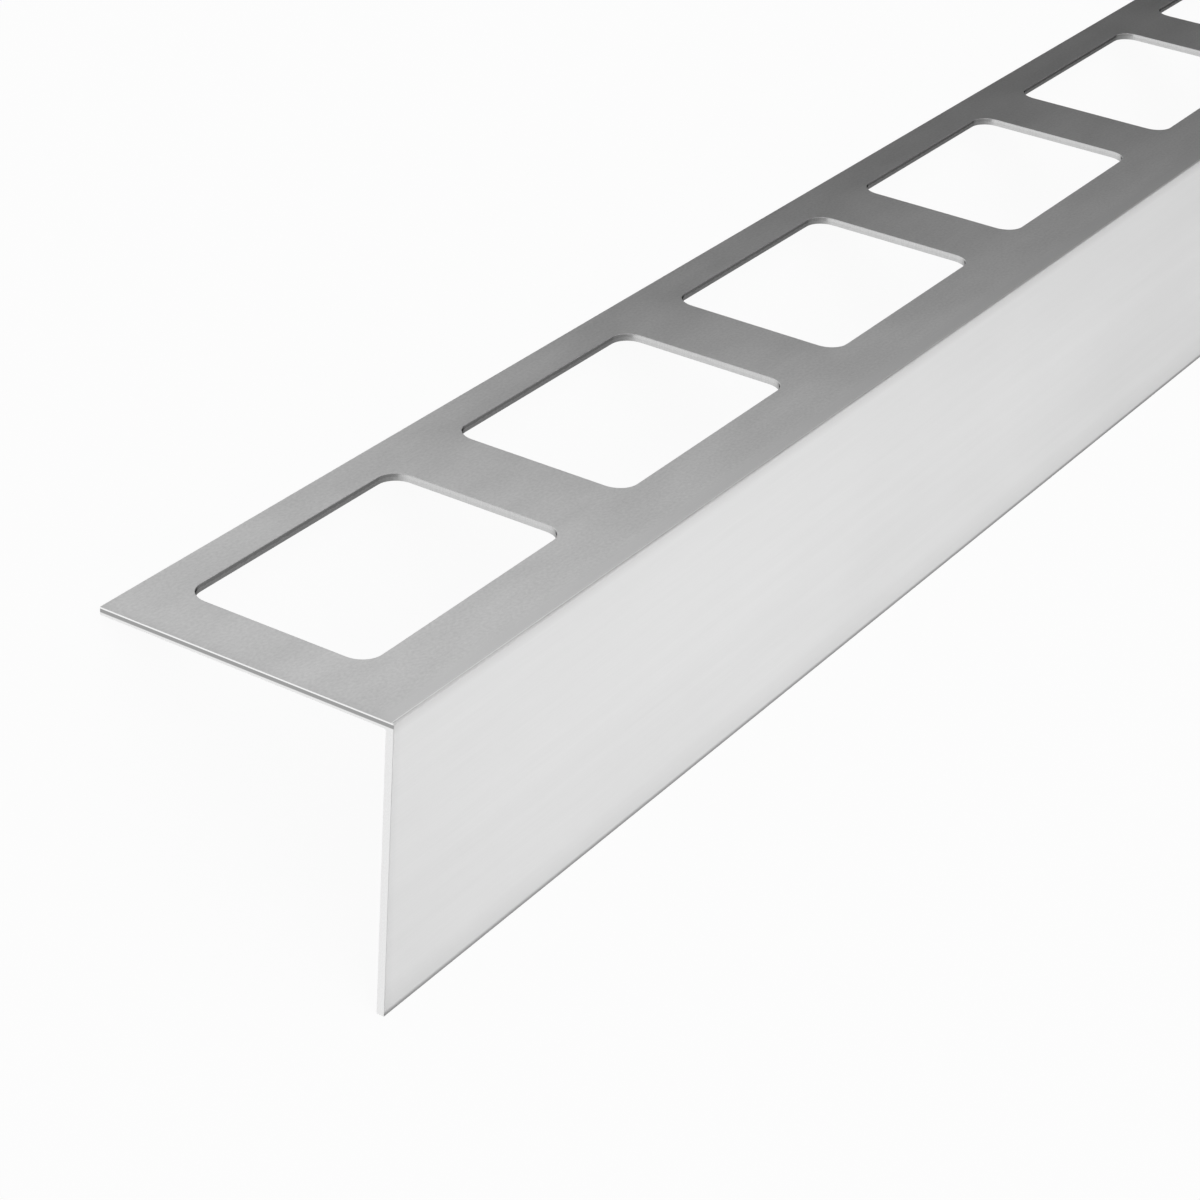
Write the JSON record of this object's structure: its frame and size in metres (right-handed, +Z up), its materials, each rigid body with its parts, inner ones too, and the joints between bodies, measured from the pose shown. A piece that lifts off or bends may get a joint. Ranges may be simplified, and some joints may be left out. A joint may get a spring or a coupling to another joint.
{
  "type": "perforated edge angle",
  "caption": "Long thin-walled aluminium edge angle for a balcony rim, with a plain face leg and an anchoring leg pierced by a row of round-cornered windows.",
  "frame": {"origin": "middle of the bar's length and of its width over the two leg tips, on the floor that it lies on", "axes": "+X along the bar; +Z up, away from the floor, towards the bend; +Y level, towards the free edge of the perforated leg; the plain leg's free edge is towards -Y"},
  "size_m": [2.5, 0.08, 0.0408],
  "materials": {
    "sheet": "plain mill finish, matt, with a fine grain along the bar"
  },
  "bodies": {
    "root": {"edge_angle": "sheet"}
  },
  "joints": []
}
